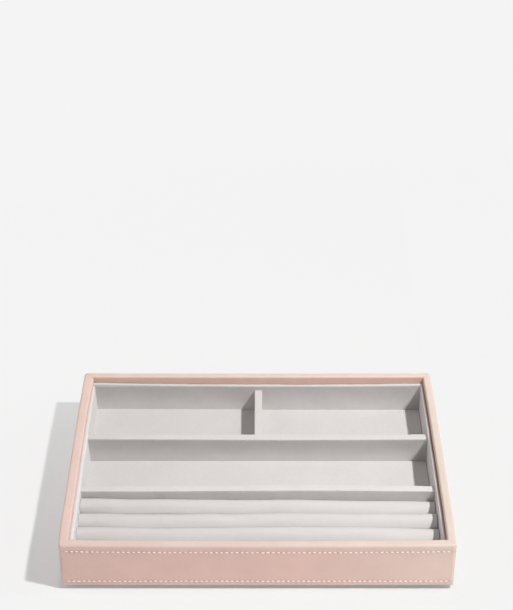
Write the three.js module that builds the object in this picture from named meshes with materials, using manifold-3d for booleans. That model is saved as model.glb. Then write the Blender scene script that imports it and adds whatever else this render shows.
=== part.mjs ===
// A stacking jewellery tray: a board case covered in leatherette and lined in velvet, with two small
// compartments at the back, one long compartment for bracelets and a bed of ring rolls at the front.
// Millimetres, +Z up. +X is to the right and +Y to the back as the tray is used. The origin is the centre of
// the footprint, on the plane that the tray rests on.
import * as THREE from "three";
import { mergeVertices } from "three/addons/utils/BufferGeometryUtils.js";
import Module from "manifold-3d";

// Overall size, over the leatherette
const CASE_WIDTH = 252.4;
const CASE_DEPTH = 180;
const TRAY_HEIGHT = 36.7;

// Sheet stock
const LEATHERETTE = 0.8;
const VELVET = 0.6;
const FELT = 0.6;
const WALL_BOARD = 4;
const BASE_BOARD = 3.6;
const PLINTH_BOARD = 2.8;
const LINER_CARD = 1;
const DIVIDER_CARD = 4;
const PAD_CARD = 1.2;

// Rounding
const CORNER_RADIUS = 2; // upright corners of the case, in plan
const RIM_RADIUS = 1.5; // both edges of the rim
const HEM_RADIUS = 1.2; // bottom edge of the walls
const VELVET_RADIUS = 0.9; // edges of the velvet-covered cards and the felt-covered plinth
const PAD_CORNER = 1.5; // corners of the floor pads, in plan
const PLINTH_CORNER = 3; // corners of the plinth, in plan

// Clearances
const GLUE = 0.1; // film between bonded faces
const MITRE_GAP = 0.2; // seam between mitred ends
const FIT = 0.3; // round each liner, divider and pad pushed into place
const STACK_FIT = 0.8; // between the plinth and the rim of the tray below
const ROLL_GAP = 0.3; // between neighbouring ring rolls
const ROLL_END_GAP = 0.6; // between the ends of the rolls and the liners

// Joints and turned edges
const RABBET = 2; // how far the base board is let into the walls
const FLAP = 8; // leatherette behind the liner, below the liner's top
const TURN_OVER = 6; // velvet folded over the back of a liner card

// Layout
const RECESS_DEPTH = 5.9; // rim to the liner's top, where the plinth of the tray above seats
const REAR_DIVIDER_DROP = 1.9; // liner's top to the top of each divider
const FRONT_DIVIDER_DROP = 2.6;
const SHORT_DIVIDER_DROP = 3.5;
const REAR_ROW = 52.1; // clear depth of the two rear compartments
const RING_BED = 53.2; // clear depth of the ring bed
const SHORT_DIVIDER_X = 0.7; // middle of the divider between the rear compartments
const ROLL_COUNT = 4;
const ROLL_HEIGHT = 15; // foam and velvet, over the bed's card
const ROLL_CROWN = 6; // rise of the rounded top
const ROLL_END = 1.2; // rounding where the ends are drawn in

// Arc steps for each rounded corner, and for the crown of a roll
const ARC_STEPS = 2;
const CROWN_STEPS = 9;

// Thickness of a covered wall, liner and divider
const WALL = WALL_BOARD + 2 * (GLUE + LEATHERETTE);
const LINER = LINER_CARD + 2 * (GLUE + VELVET);
const DIVIDER = DIVIDER_CARD + 2 * (GLUE + VELVET);

// Levels, from the bottom up and then from the rim down
const CASE_BOTTOM = FELT + GLUE + PLINTH_BOARD - LEATHERETTE;
const BASE_BOTTOM = CASE_BOTTOM + LEATHERETTE + GLUE;
const BASE_TOP = BASE_BOTTOM + BASE_BOARD;
const FLOOR_LEVEL = BASE_TOP + GLUE;
const PAD_THICKNESS = PAD_CARD + GLUE + VELVET;
const LINER_TOP = TRAY_HEIGHT - RECESS_DEPTH;

// Clear faces inside the liners, and the faces of the cross dividers
const INNER_X = CASE_WIDTH / 2 - WALL - GLUE - LINER;
const INNER_Y = CASE_DEPTH / 2 - WALL - GLUE - LINER;
const REAR_DIVIDER_Y = INNER_Y - REAR_ROW - DIVIDER / 2;
const FRONT_DIVIDER_Y = RING_BED - INNER_Y + DIVIDER / 2;

// The four walls: each is built as the front one and turned about Z
const SIDES = [
  { name: "front", turn: 0, length: CASE_WIDTH, reach: CASE_DEPTH / 2, through: true },
  { name: "right", turn: Math.PI / 2, length: CASE_DEPTH, reach: CASE_WIDTH / 2, through: false },
  { name: "back", turn: Math.PI, length: CASE_WIDTH, reach: CASE_DEPTH / 2, through: true },
  { name: "left", turn: -Math.PI / 2, length: CASE_DEPTH, reach: CASE_WIDTH / 2, through: false },
];

const wasm = await Module();
wasm.setup();

function material(color, roughness) {
  return new THREE.MeshStandardMaterial({ color, roughness, metalness: 0 });
}

function piece(name, geometry, color, roughness) {
  const mesh = new THREE.Mesh(geometry, material(color, roughness));
  mesh.name = name;
  return mesh;
}

const leatherettePiece = (name, geometry) => piece(name, geometry, 0xe3c0b3, 0.5);
const velvetPiece = (name, geometry) => piece(name, geometry, 0xdad5d2, 0.95);
const feltPiece = (name, geometry) => piece(name, geometry, 0x8f8a87, 0.95);
const boardPiece = (name, geometry) => piece(name, geometry, 0xb08f68, 0.8);
const cardPiece = (name, geometry) => piece(name, geometry, 0xa09a92, 0.85);
const foamPiece = (name, geometry) => piece(name, geometry, 0xebe6da, 0.9);

// A geometry as a closed solid for cutting.
function solid(geometry) {
  const bare = geometry.clone();
  bare.deleteAttribute("normal");
  bare.deleteAttribute("uv");
  const merged = mergeVertices(bare);
  const mesh = new wasm.Mesh({
    numProp: 3,
    vertProperties: merged.attributes.position.array,
    triVerts: Uint32Array.from(merged.index.array),
  });
  return new wasm.Manifold(mesh);
}

// A cut solid as a geometry with flat normals.
function geometryOf(cut) {
  const mesh = cut.getMesh();
  const indexed = new THREE.BufferGeometry();
  indexed.setAttribute("position", new THREE.BufferAttribute(mesh.vertProperties, 3));
  indexed.setIndex(new THREE.BufferAttribute(mesh.triVerts, 1));
  const flat = indexed.toNonIndexed();
  flat.computeVertexNormals();
  return flat;
}

// A closed outline through corners given as [x, y, radius]. Each corner is a right angle, rounded to its
// radius where it has one.
function outline(corners) {
  const shape = new THREE.Shape();
  corners.forEach(([x, y, radius = 0], i) => {
    const before = corners.at(i - 1);
    const after = corners[(i + 1) % corners.length];
    const back = new THREE.Vector2(before[0] - x, before[1] - y).normalize();
    const on = new THREE.Vector2(after[0] - x, after[1] - y).normalize();
    if (i === 0) {
      shape.moveTo(x + back.x * radius, y + back.y * radius);
    }
    if (radius > 0) {
      const middle = new THREE.Vector2(x + (back.x + on.x) * radius, y + (back.y + on.y) * radius);
      const clockwise = back.cross(on) > 0;
      const start = Math.atan2(-on.y, -on.x);
      const end = Math.atan2(-back.y, -back.x);
      shape.absarc(middle.x, middle.y, radius, start, end, clockwise);
    } else if (i > 0) {
      shape.lineTo(x, y);
    }
  });
  shape.closePath();
  return shape;
}

// A rectangle with its corners rounded, about the origin.
function rectangle(width, depth, radius) {
  const x = width / 2;
  const y = depth / 2;
  return outline([[-x, -y, radius], [x, -y, radius], [x, y, radius], [-x, y, radius]]);
}

// A box between two corners.
function block(low, high) {
  const size = high.map((value, i) => value - low[i]);
  const box = new THREE.BoxGeometry(...size);
  return box.translate(...low.map((value, i) => value + size[i] / 2));
}

// A section drawn in (depth, height) and carried along X for a length, about the middle of that length.
function run(section, length, options = {}) {
  const settings = { depth: length, bevelEnabled: false, curveSegments: ARC_STEPS, ...options };
  const made = new THREE.ExtrudeGeometry(section, settings);
  made.translate(0, 0, -length / 2);
  const alongX = new THREE.Matrix4().makeBasis(
    new THREE.Vector3(0, 1, 0),
    new THREE.Vector3(0, 0, 1),
    new THREE.Vector3(1, 0, 0),
  );
  return made.applyMatrix4(alongX);
}

// A run whose ends are mitred at 45 degrees, for a wall of the given length.
function mitredRun(section, length) {
  const made = run(section, length);
  const place = made.attributes.position;
  for (let i = 0; i < place.count; i += 1) {
    const end = length / 2 - place.getY(i) - MITRE_GAP / Math.SQRT2;
    place.setX(i, Math.sign(place.getX(i)) * end);
  }
  return made;
}

// The radius of a covered edge, at a depth below the cover's face.
const under = (radius, depth) => Math.max(radius - depth, GLUE);

// A wall piece trimmed to the case's plan, inset from the outside, so that its upright corners are rounded.
function trimmedToPlan(geometry, side, inset) {
  const radius = under(CORNER_RADIUS, inset);
  const plan = rectangle(side.length - 2 * inset, 2 * (side.reach - inset), radius);
  const prism = new THREE.ExtrudeGeometry(plan, {
    depth: 2 * TRAY_HEIGHT,
    bevelEnabled: false,
    curveSegments: ARC_STEPS,
  });
  prism.translate(0, side.reach, 0);
  return geometryOf(solid(geometry).intersect(solid(prism)));
}

// What of a solid stands above a level.
function trimmedBelow(shape, level) {
  const keep = block([-CASE_WIDTH, -CASE_WIDTH, level], [CASE_WIDTH, CASE_WIDTH, 2 * TRAY_HEIGHT]);
  return shape.intersect(solid(keep));
}

// Wall board: rounded at the rim and let out at the bottom for the base board.
function wallBoard(side) {
  const outer = LEATHERETTE + GLUE;
  const inner = outer + WALL_BOARD;
  const top = TRAY_HEIGHT - outer;
  const rim = under(RIM_RADIUS, outer);
  const section = outline([
    [outer, BASE_BOTTOM, under(HEM_RADIUS, outer)],
    [inner - RABBET, BASE_BOTTOM],
    [inner - RABBET, BASE_TOP + GLUE],
    [inner, BASE_TOP + GLUE],
    [inner, top, rim],
    [outer, top, rim],
  ]);
  const board = trimmedToPlan(mitredRun(section, side.length), side, outer);
  return boardPiece(`${side.name}_wall_board`, board);
}

// Leatherette cover of one wall: turned under the bottom edge, up the outside, over the rim and down the
// inside to behind the liner.
function wallCover(side) {
  const flapEnd = LINER_TOP - FLAP;
  const inside = WALL - LEATHERETTE;
  const rim = under(RIM_RADIUS, LEATHERETTE);
  const section = outline([
    [WALL, CASE_BOTTOM],
    [WALL, CASE_BOTTOM + LEATHERETTE],
    [LEATHERETTE, CASE_BOTTOM + LEATHERETTE, under(HEM_RADIUS, LEATHERETTE)],
    [LEATHERETTE, TRAY_HEIGHT - LEATHERETTE, rim],
    [inside, TRAY_HEIGHT - LEATHERETTE, rim],
    [inside, flapEnd],
    [WALL, flapEnd],
    [WALL, TRAY_HEIGHT, RIM_RADIUS],
    [0, TRAY_HEIGHT, RIM_RADIUS],
    [0, CASE_BOTTOM, HEM_RADIUS],
  ]);
  const cover = trimmedToPlan(mitredRun(section, side.length), side, 0);
  return leatherettePiece(`${side.name}_leatherette`, cover);
}

// Length of a liner: the front and back ones run from wall to wall and the side ones fit between them.
function linerLength(side) {
  const ends = side.through ? WALL + FIT : WALL + GLUE + LINER + FIT;
  return side.length - 2 * ends;
}

function linerCard(side) {
  const outer = WALL + GLUE + VELVET + GLUE;
  const top = LINER_TOP - VELVET - GLUE;
  const corner = under(VELVET_RADIUS, VELVET + GLUE);
  const section = outline([
    [outer, FLOOR_LEVEL],
    [outer + LINER_CARD, FLOOR_LEVEL],
    [outer + LINER_CARD, top, corner],
    [outer, top, corner],
  ]);
  return cardPiece(`${side.name}_liner_card`, run(section, linerLength(side)));
}

// Velvet of one liner: down the clear face to the floor, and folded over the back of the card.
function linerVelvet(side) {
  const outer = WALL + GLUE;
  const inner = outer + LINER;
  const corner = under(VELVET_RADIUS, VELVET);
  const section = outline([
    [inner - VELVET, FLOOR_LEVEL],
    [inner, FLOOR_LEVEL],
    [inner, LINER_TOP, VELVET_RADIUS],
    [outer, LINER_TOP, VELVET_RADIUS],
    [outer, LINER_TOP - TURN_OVER],
    [outer + VELVET, LINER_TOP - TURN_OVER],
    [outer + VELVET, LINER_TOP - VELVET, corner],
    [inner - VELVET, LINER_TOP - VELVET, corner],
  ]);
  return velvetPiece(`${side.name}_liner_velvet`, run(section, linerLength(side)));
}

// One wall of the case with its liner, turned to its side. The section's depth counts from the outside.
function wall(side) {
  const built = new THREE.Group();
  const pieces = [wallBoard(side), wallCover(side), linerCard(side), linerVelvet(side)];
  pieces.forEach((mesh) => mesh.position.setY(-side.reach));
  built.add(...pieces);
  built.rotation.z = side.turn;
  return built;
}

function baseBoard() {
  const margin = LEATHERETTE + GLUE + WALL_BOARD - RABBET + GLUE;
  const x = CASE_WIDTH / 2 - margin;
  const y = CASE_DEPTH / 2 - margin;
  return boardPiece("base_board", block([-x, -y, BASE_BOTTOM], [x, y, BASE_TOP]));
}

// A flat sheet with rounded corners, standing on Z = 0.
function sheet(width, depth, corner, thickness) {
  const plan = rectangle(width, depth, corner);
  return new THREE.ExtrudeGeometry(plan, { depth: thickness, bevelEnabled: false, curveSegments: ARC_STEPS });
}

// A skin pulled over a sheet: closed on top with its edge rounded, down the sides, and open below. The
// sizes are over the skin, and it stands on Z = 0.
function wrapped(width, depth, corner, height, skin) {
  const full = new THREE.ExtrudeGeometry(rectangle(width, depth, corner), {
    depth: height,
    bevelThickness: VELVET_RADIUS,
    bevelSize: VELVET_RADIUS,
    bevelOffset: -VELVET_RADIUS,
    bevelSegments: 3,
    curveSegments: ARC_STEPS,
  });
  full.translate(0, 0, -VELVET_RADIUS);
  const hollow = sheet(width - 2 * skin, depth - 2 * skin, under(corner, skin), height);
  hollow.translate(0, 0, -skin);
  return geometryOf(trimmedBelow(solid(full), 0).subtract(solid(hollow)));
}

// A sheet and the skin wrapped over it, in that order, for sizes over the skin.
function wrappedSheet(width, depth, corner, height, skin) {
  const inset = skin + GLUE;
  const core = sheet(width - 2 * inset, depth - 2 * inset, under(corner, inset), height - inset);
  return [core, wrapped(width, depth, corner, height, skin)];
}

// The plinth drops inside the rim of the tray below: a board with felt over its underside and edge.
function plinth() {
  const margin = 2 * (WALL + STACK_FIT);
  const height = FELT + GLUE + PLINTH_BOARD;
  const [core, felt] = wrappedSheet(CASE_WIDTH - margin, CASE_DEPTH - margin, PLINTH_CORNER, height, FELT);
  const built = new THREE.Group();
  built.add(boardPiece("plinth_board", core), feltPiece("plinth_felt", felt));
  built.rotation.x = Math.PI;
  built.position.z = height;
  return built;
}

// A divider of the given length along X: a card with velvet pulled over it. It ends a drop below the liners.
function divider(name, length, drop) {
  const half = DIVIDER_CARD / 2;
  const outer = DIVIDER / 2;
  const height = LINER_TOP - drop;
  const top = height - VELVET - GLUE;
  const edge = under(VELVET_RADIUS, VELVET + GLUE);
  const lining = under(VELVET_RADIUS, VELVET);
  const card = outline([
    [-half, FLOOR_LEVEL],
    [half, FLOOR_LEVEL],
    [half, top, edge],
    [-half, top, edge],
  ]);
  const sleeve = outline([
    [half + GLUE, FLOOR_LEVEL],
    [outer, FLOOR_LEVEL],
    [outer, height, VELVET_RADIUS],
    [-outer, height, VELVET_RADIUS],
    [-outer, FLOOR_LEVEL],
    [-half - GLUE, FLOOR_LEVEL],
    [-half - GLUE, height - VELVET, lining],
    [half + GLUE, height - VELVET, lining],
  ]);
  const built = new THREE.Group();
  built.add(cardPiece(`${name}_card`, run(card, length)), velvetPiece(`${name}_velvet`, run(sleeve, length)));
  return built;
}

function crossDivider(name, y, drop) {
  const built = divider(name, 2 * (INNER_X - FIT), drop);
  built.position.y = y;
  return built;
}

// The divider between the rear compartments, from the rear cross divider to the back liner.
function shortDivider() {
  const built = divider("short_divider", REAR_ROW - 2 * FIT, SHORT_DIVIDER_DROP);
  built.rotation.z = Math.PI / 2;
  built.position.set(SHORT_DIVIDER_X, INNER_Y - REAR_ROW / 2, 0);
  return built;
}

// A floor pad in the clear space between two corners: a card and the velvet wrapped over its edges.
function floorPad(name, low, high) {
  const width = high[0] - low[0] - 2 * FIT;
  const depth = high[1] - low[1] - 2 * FIT;
  const [core, velvet] = wrappedSheet(width, depth, PAD_CORNER, PAD_THICKNESS, VELVET);
  const built = new THREE.Group();
  built.add(cardPiece(`${name}_card`, core), velvetPiece(`${name}_velvet`, velvet));
  built.position.set((low[0] + high[0]) / 2, (low[1] + high[1]) / 2, FLOOR_LEVEL);
  return built;
}

// The bed's card, under all of the ring rolls.
function ringBedCard() {
  const x = INNER_X - FIT;
  const y = INNER_Y - FIT;
  const back = RING_BED - INNER_Y - FIT;
  return cardPiece("ring_bed_card", block([-x, -y, FLOOR_LEVEL], [x, back, FLOOR_LEVEL + PAD_CARD]));
}

// A roll inset from its full size on every side: straight flanks, a domed crown and drawn-in ends.
function rollSolid(inset) {
  const half = (RING_BED / ROLL_COUNT - ROLL_GAP) / 2 - inset;
  const length = 2 * (INNER_X - ROLL_END_GAP - inset);
  const bottom = FLOOR_LEVEL + PAD_CARD + GLUE;
  const shoulder = bottom + ROLL_HEIGHT - ROLL_CROWN;
  const section = new THREE.Shape();
  section.moveTo(-half, bottom - ROLL_END);
  section.lineTo(half, bottom - ROLL_END);
  section.lineTo(half, shoulder);
  section.absellipse(0, shoulder, half, ROLL_CROWN - inset, 0, Math.PI, false, 0);
  section.closePath();
  const bar = run(section, length - 2 * ROLL_END, {
    bevelEnabled: true,
    bevelThickness: ROLL_END,
    bevelSize: ROLL_END,
    bevelOffset: -ROLL_END,
    bevelSegments: 4,
    curveSegments: CROWN_STEPS,
  });
  return solid(bar);
}

// One ring roll: a foam core and the velvet pulled over it, open underneath where it is glued to the card.
function ringRoll(number) {
  const pitch = RING_BED / ROLL_COUNT;
  const bottom = FLOOR_LEVEL + PAD_CARD + GLUE;
  const core = trimmedBelow(rollSolid(VELVET + GLUE), bottom);
  const skin = trimmedBelow(rollSolid(0), bottom).subtract(rollSolid(VELVET));
  const built = new THREE.Group();
  built.add(foamPiece(`ring_roll_${number}_foam`, geometryOf(core)));
  built.add(velvetPiece(`ring_roll_${number}_velvet`, geometryOf(skin)));
  built.position.y = RING_BED - INNER_Y - pitch * (number - 0.5);
  return built;
}

function tray() {
  const built = new THREE.Group();
  const rearFront = REAR_DIVIDER_Y + DIVIDER / 2;
  const shortLeft = SHORT_DIVIDER_X - DIVIDER / 2;
  const shortRight = SHORT_DIVIDER_X + DIVIDER / 2;
  built.add(baseBoard(), plinth());
  built.add(...SIDES.map(wall));
  built.add(crossDivider("rear_divider", REAR_DIVIDER_Y, REAR_DIVIDER_DROP));
  built.add(crossDivider("front_divider", FRONT_DIVIDER_Y, FRONT_DIVIDER_DROP));
  built.add(shortDivider());
  built.add(floorPad("rear_left_pad", [-INNER_X, rearFront], [shortLeft, INNER_Y]));
  built.add(floorPad("rear_right_pad", [shortRight, rearFront], [INNER_X, INNER_Y]));
  built.add(floorPad(
    "bracelet_pad",
    [-INNER_X, FRONT_DIVIDER_Y + DIVIDER / 2],
    [INNER_X, REAR_DIVIDER_Y - DIVIDER / 2],
  ));
  built.add(ringBedCard());
  for (let number = 1; number <= ROLL_COUNT; number += 1) {
    built.add(ringRoll(number));
  }
  return built;
}

export default tray();
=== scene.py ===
"""Looks of a stacking jewellery tray: a leatherette case, velvet lining and a bed of padded ring rolls.

Sizes in the classes and finishes are millimetres, in the frame of the CAD model: +X to the right, +Y to the
back, +Z up and Z = 0 on the plane that the tray rests on. They become metres where a mesh is made.
"""

import logging
import math
from abc import ABC, abstractmethod
from dataclasses import dataclass
from enum import Enum
from typing import Any, Sequence

import bpy
import numpy as np
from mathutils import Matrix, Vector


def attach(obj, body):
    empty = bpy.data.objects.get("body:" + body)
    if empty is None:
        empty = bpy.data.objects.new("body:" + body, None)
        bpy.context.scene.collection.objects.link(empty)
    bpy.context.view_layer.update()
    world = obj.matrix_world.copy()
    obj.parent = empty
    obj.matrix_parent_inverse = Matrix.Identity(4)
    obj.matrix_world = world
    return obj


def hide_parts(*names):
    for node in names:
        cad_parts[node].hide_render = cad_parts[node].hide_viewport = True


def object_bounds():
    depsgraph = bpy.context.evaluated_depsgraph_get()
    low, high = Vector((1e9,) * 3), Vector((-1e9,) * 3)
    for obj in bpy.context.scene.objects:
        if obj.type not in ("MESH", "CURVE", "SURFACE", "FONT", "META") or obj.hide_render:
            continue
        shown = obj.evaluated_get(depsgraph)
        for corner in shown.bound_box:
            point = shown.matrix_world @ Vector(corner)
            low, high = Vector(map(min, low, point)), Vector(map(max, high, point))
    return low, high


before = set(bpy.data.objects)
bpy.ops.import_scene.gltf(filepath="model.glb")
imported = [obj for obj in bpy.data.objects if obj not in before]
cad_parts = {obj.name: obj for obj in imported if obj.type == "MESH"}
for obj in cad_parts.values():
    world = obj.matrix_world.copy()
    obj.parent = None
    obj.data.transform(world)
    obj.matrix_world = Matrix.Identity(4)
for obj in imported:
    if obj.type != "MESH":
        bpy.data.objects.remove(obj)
CAD_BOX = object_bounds()

MM = 0.001
TINY = 1e-9
SHARP_ANGLE = 50.0
FLAT_SHEET = "flat_sheet"
BODY = "root"
# The case's size, and heights that several pieces share: what they stand on, and the faces of the floor pads.
WIDTH, DEPTH, HEIGHT = (round(float(high - low) / MM, 2) for low, high in zip(*CAD_BOX))
FLOOR = 7.3
PAD_TOP = 9.2
STITCH_PITCH = 3.28
LOG = logging.getLogger("tray")

Array = np.ndarray
Colour = tuple[float, float, float]
Span = tuple[float, float]
Row = tuple[float, ...]


# Shapes in numbers


def smooth(low: float, high: float, value: Array) -> Array:
    """Ease from 0 at low to 1 at high: 3t^2 - 2t^3 of the clipped share t."""
    share = np.clip((value - low) / (high - low), 0.0, 1.0)
    return share * share * (3.0 - 2.0 * share)


def bell(value: Array, width: float) -> Array:
    """A bell curve of height 1: e to the minus square of value over width."""
    return np.exp(-np.square(value / width))


def ripple(across: Array, along: Array, size: float, seed: int, waves: int = 9) -> Array:
    """Gentle seeded unevenness over two coordinates.

    Formula: the sum of sine waves of random direction, phase and length near size, divided by the root of
    their number, which keeps it mostly between -1 and 1.

    Args:
        across: First coordinate of each point.
        along: Second coordinate of each point.
        size: Typical length of a wave.
        seed: Seed of the directions, phases and lengths.
        waves: How many waves are added.

    Returns:
        The unevenness at each point.
    """
    rng = np.random.default_rng(seed)
    turn = rng.uniform(0.0, math.pi, waves)
    phase = rng.uniform(0.0, math.tau, waves)
    length = size * rng.uniform(0.7, 1.7, waves)
    total = np.zeros(np.broadcast(across, along).shape)
    for angle, start, wave in zip(turn, phase, length):
        total += np.sin((across * math.cos(angle) + along * math.sin(angle)) * math.tau / wave + start)
    return total / math.sqrt(waves)


def folded(corners: Sequence[Row], steps: Sequence[float], turns: int = 6) -> Array:
    """A line through corners, with a quarter circle at each that has a radius.

    Formula: a straight part is cut into equal parts of about its step. At a right-angled corner c of radius
    r, with unit directions b back and n on, the arc is c + (b + n) r - n r cos(a) - b r sin(a), a from 0 to
    90 degrees.

    Args:
        corners: Each corner as (across, up, radius).
        steps: Spacing of points on each straight part, one fewer than corners.
        turns: Parts of each arc.

    Returns:
        The points of the line, one (across, up) a row.
    """
    places = np.array([corner[:2] for corner in corners], float)
    angle = np.linspace(0.0, math.pi / 2, turns + 1)[:, None]
    parts: list[Array] = []
    start = places[0]
    for number, step in enumerate(steps, 1):
        corner, radius = places[number], corners[number][2]
        back = places[number - 1] - corner
        back = back / np.linalg.norm(back)
        stop = corner + back * radius
        count = max(1, round(float(np.linalg.norm(stop - start)) / step))
        parts.append(start + (stop - start) * np.linspace(0.0, 1.0, count + 1)[:-1, None])
        start = stop
        if radius > 0.0:
            on = places[number + 1] - corner
            on = on / np.linalg.norm(on)
            arc = corner + (back + on) * radius - radius * (on * np.cos(angle) + back * np.sin(angle))
            parts.append(arc[:-1])
            start = arc[-1]
    return np.vstack([*parts, start[None]])


def outward(line: Array) -> Array:
    """Unit normals to the left of a line's direction, from the differences between neighbouring points."""
    run = np.gradient(line, axis=0)
    run /= np.linalg.norm(run, axis=1, keepdims=True)
    return np.stack([-run[:, 1], run[:, 0]], axis=1)


def drawn_out(half: float, step: float, edge: float, edge_step: float) -> Array:
    """Places from -half to half, spaced by step, and by edge_step within edge of both ends."""
    near = np.linspace(half - edge, half, max(2, round(edge / edge_step) + 1))
    middle = np.linspace(edge - half, half - edge, max(2, round(2.0 * (half - edge) / step) + 1))
    return np.concatenate([-near[::-1], middle[1:-1], near])


@dataclass(frozen=True)
class HandWork:
    """How far the case, which is made by hand, departs from straight walls."""

    drawn_in: float = 0.8
    rear_power: float = 3.4
    front_power: float = 12.0
    flare: float = 0.9
    flare_depth: Span = (-84.2, -89.5)
    face: float = 34.0
    drawn_back: float = 0.55
    back_power: float = 1.4
    back_depth: Span = (-76.0, -89.0)
    back_height: Span = (6.0, 30.0)
    lift: float = 0.35
    lift_height: Span = (25.0, 36.0)

    def moved(self, places: Array) -> Array:
        """Places of the straight case as places of the real one.

        Formula: with s = |x| over half the width and e = |y| over half the depth, the side walls are drawn in
        by 0.8 s e^3.4 towards the back and 0.8 s e^12 towards the front. The front stands out by 0.9 at its
        foot and by nothing at the rim, and its upper part is drawn back by 0.55 s^1.4. The rim rises by
        0.35 s^5 e^12 into the corners.

        Args:
            places: Places, with a last axis of three.

        Returns:
            The moved places.
        """
        x, y, z = np.moveaxis(places, -1, 0)
        side = np.minimum(np.abs(x) / (WIDTH / 2), 1.0)
        end = np.minimum(np.abs(y) / (DEPTH / 2), 1.0)
        share = end ** np.where(y > 0.0, self.rear_power, self.front_power)
        flare = self.flare * smooth(*self.flare_depth, y) * np.clip((HEIGHT - z) / self.face, 0.0, 1.0)
        back = self.drawn_back * side**self.back_power
        back = back * smooth(*self.back_depth, y) * smooth(*self.back_height, z)
        lift = self.lift * side**5 * end**12 * smooth(*self.lift_height, z)
        narrowed = x - self.drawn_in * x / (WIDTH / 2) * share
        return np.stack([narrowed, y - flare + back, z + lift], axis=-1)


HAND_WORK = HandWork()


# Meshes


def grid_quads(rows: int, columns: int, wrap: bool = False) -> Array:
    """Quads of a grid of points numbered row by row.

    Args:
        rows: Rows of points.
        columns: Points in a row.
        wrap: Whether the last point of a row joins the first.

    Returns:
        Four point numbers for each quad.
    """
    row, column = np.meshgrid(np.arange(rows - 1), np.arange(columns if wrap else columns - 1), indexing="ij")
    here, after = row * columns, (column + 1) % columns
    above = here + columns
    return np.stack([here + column, here + after, above + after, above + column], axis=-1).reshape(-1, 4)


def volume(points: Array, faces: Sequence[Array]) -> float:
    """Signed volume inside closed faces: a sixth of the summed triple products of their fans of triangles."""
    total = 0.0
    for group in faces:
        corners = points[group]
        for second in range(1, group.shape[1] - 1):
            pair = np.cross(corners[:, second], corners[:, second + 1])
            total += float(np.einsum("ij,ij->", corners[:, 0], pair))
    return total / 6.0


def mesh_piece(
    name: str, points: Array, faces: Sequence[Array], flat_map: Array | None = None
) -> bpy.types.Object:
    """A new piece from points in millimetres and closed faces, turned outwards.

    Args:
        name: Name of the piece.
        points: Places of the points, one a row.
        faces: Groups of faces with the same number of corners, as point numbers.
        flat_map: Place of each point on the flat sheet, for the material, or None.

    Returns:
        The piece, in the scene, with its place in its mesh.
    """
    if volume(points, faces) < 0.0:
        faces = [group[:, ::-1] for group in faces]
    corners = np.concatenate([group.ravel() for group in faces])
    sizes = np.concatenate([np.full(len(group), group.shape[1]) for group in faces])
    starts = np.concatenate([[0], np.cumsum(sizes)[:-1]])
    mesh = bpy.data.meshes.new(name)
    mesh.vertices.add(len(points))
    mesh.vertices.foreach_set("co", (points * MM).astype(np.float32).ravel())
    mesh.loops.add(len(corners))
    mesh.loops.foreach_set("vertex_index", corners.astype(np.int32))
    mesh.polygons.add(len(sizes))
    mesh.polygons.foreach_set("loop_start", starts.astype(np.int32))
    if flat_map is not None:
        layer = mesh.uv_layers.new(name=FLAT_SHEET)
        layer.uv.foreach_set("vector", flat_map[corners].astype(np.float32).ravel())
    mesh.update(calc_edges=True)
    mesh.validate()
    mesh.shade_smooth()
    mesh.set_sharp_from_angle(angle=math.radians(SHARP_ANGLE))
    piece = bpy.data.objects.new(name, mesh)
    bpy.context.scene.collection.objects.link(piece)
    return piece


def tube(name: str, rings: Array, flat_map: Array | None = None) -> bpy.types.Object:
    """A closed piece from rings of points, with a flat face over each end.

    Args:
        name: Name of the piece.
        rings: Points as (rings, points of a ring, 3).
        flat_map: Flat-sheet place of each point as (rings, points of a ring, 2), or None.

    Returns:
        The piece.
    """
    count, around = rings.shape[:2]
    ends = np.stack([np.arange(around)[::-1], (count - 1) * around + np.arange(around)])
    flat = None if flat_map is None else flat_map.reshape(-1, 2)
    return mesh_piece(name, rings.reshape(-1, 3), [grid_quads(count, around, wrap=True), ends], flat)


def shell(name: str, outer: Array, inner: Array) -> bpy.types.Object:
    """A closed sheet with an outer and an inner grid of points, joined along their four borders.

    Args:
        name: Name of the piece.
        outer: Points of the seen side as (rows, columns, 3).
        inner: Points of the back, in the same order.

    Returns:
        The piece.
    """
    rows, columns = outer.shape[:2]
    number = np.arange(rows * columns).reshape(rows, columns)
    border = np.concatenate([number[0, :-1], number[:-1, -1], number[-1, :0:-1], number[:0:-1, 0]])
    onward = np.roll(border, -1)
    back = rows * columns
    faces = grid_quads(rows, columns)
    strip = np.stack([onward, border, border + back, onward + back], axis=1)
    quads = np.concatenate([faces, faces[:, ::-1] + back, strip])
    return mesh_piece(name, np.concatenate([outer.reshape(-1, 3), inner.reshape(-1, 3)]), [quads])


# Shader maths


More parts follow.
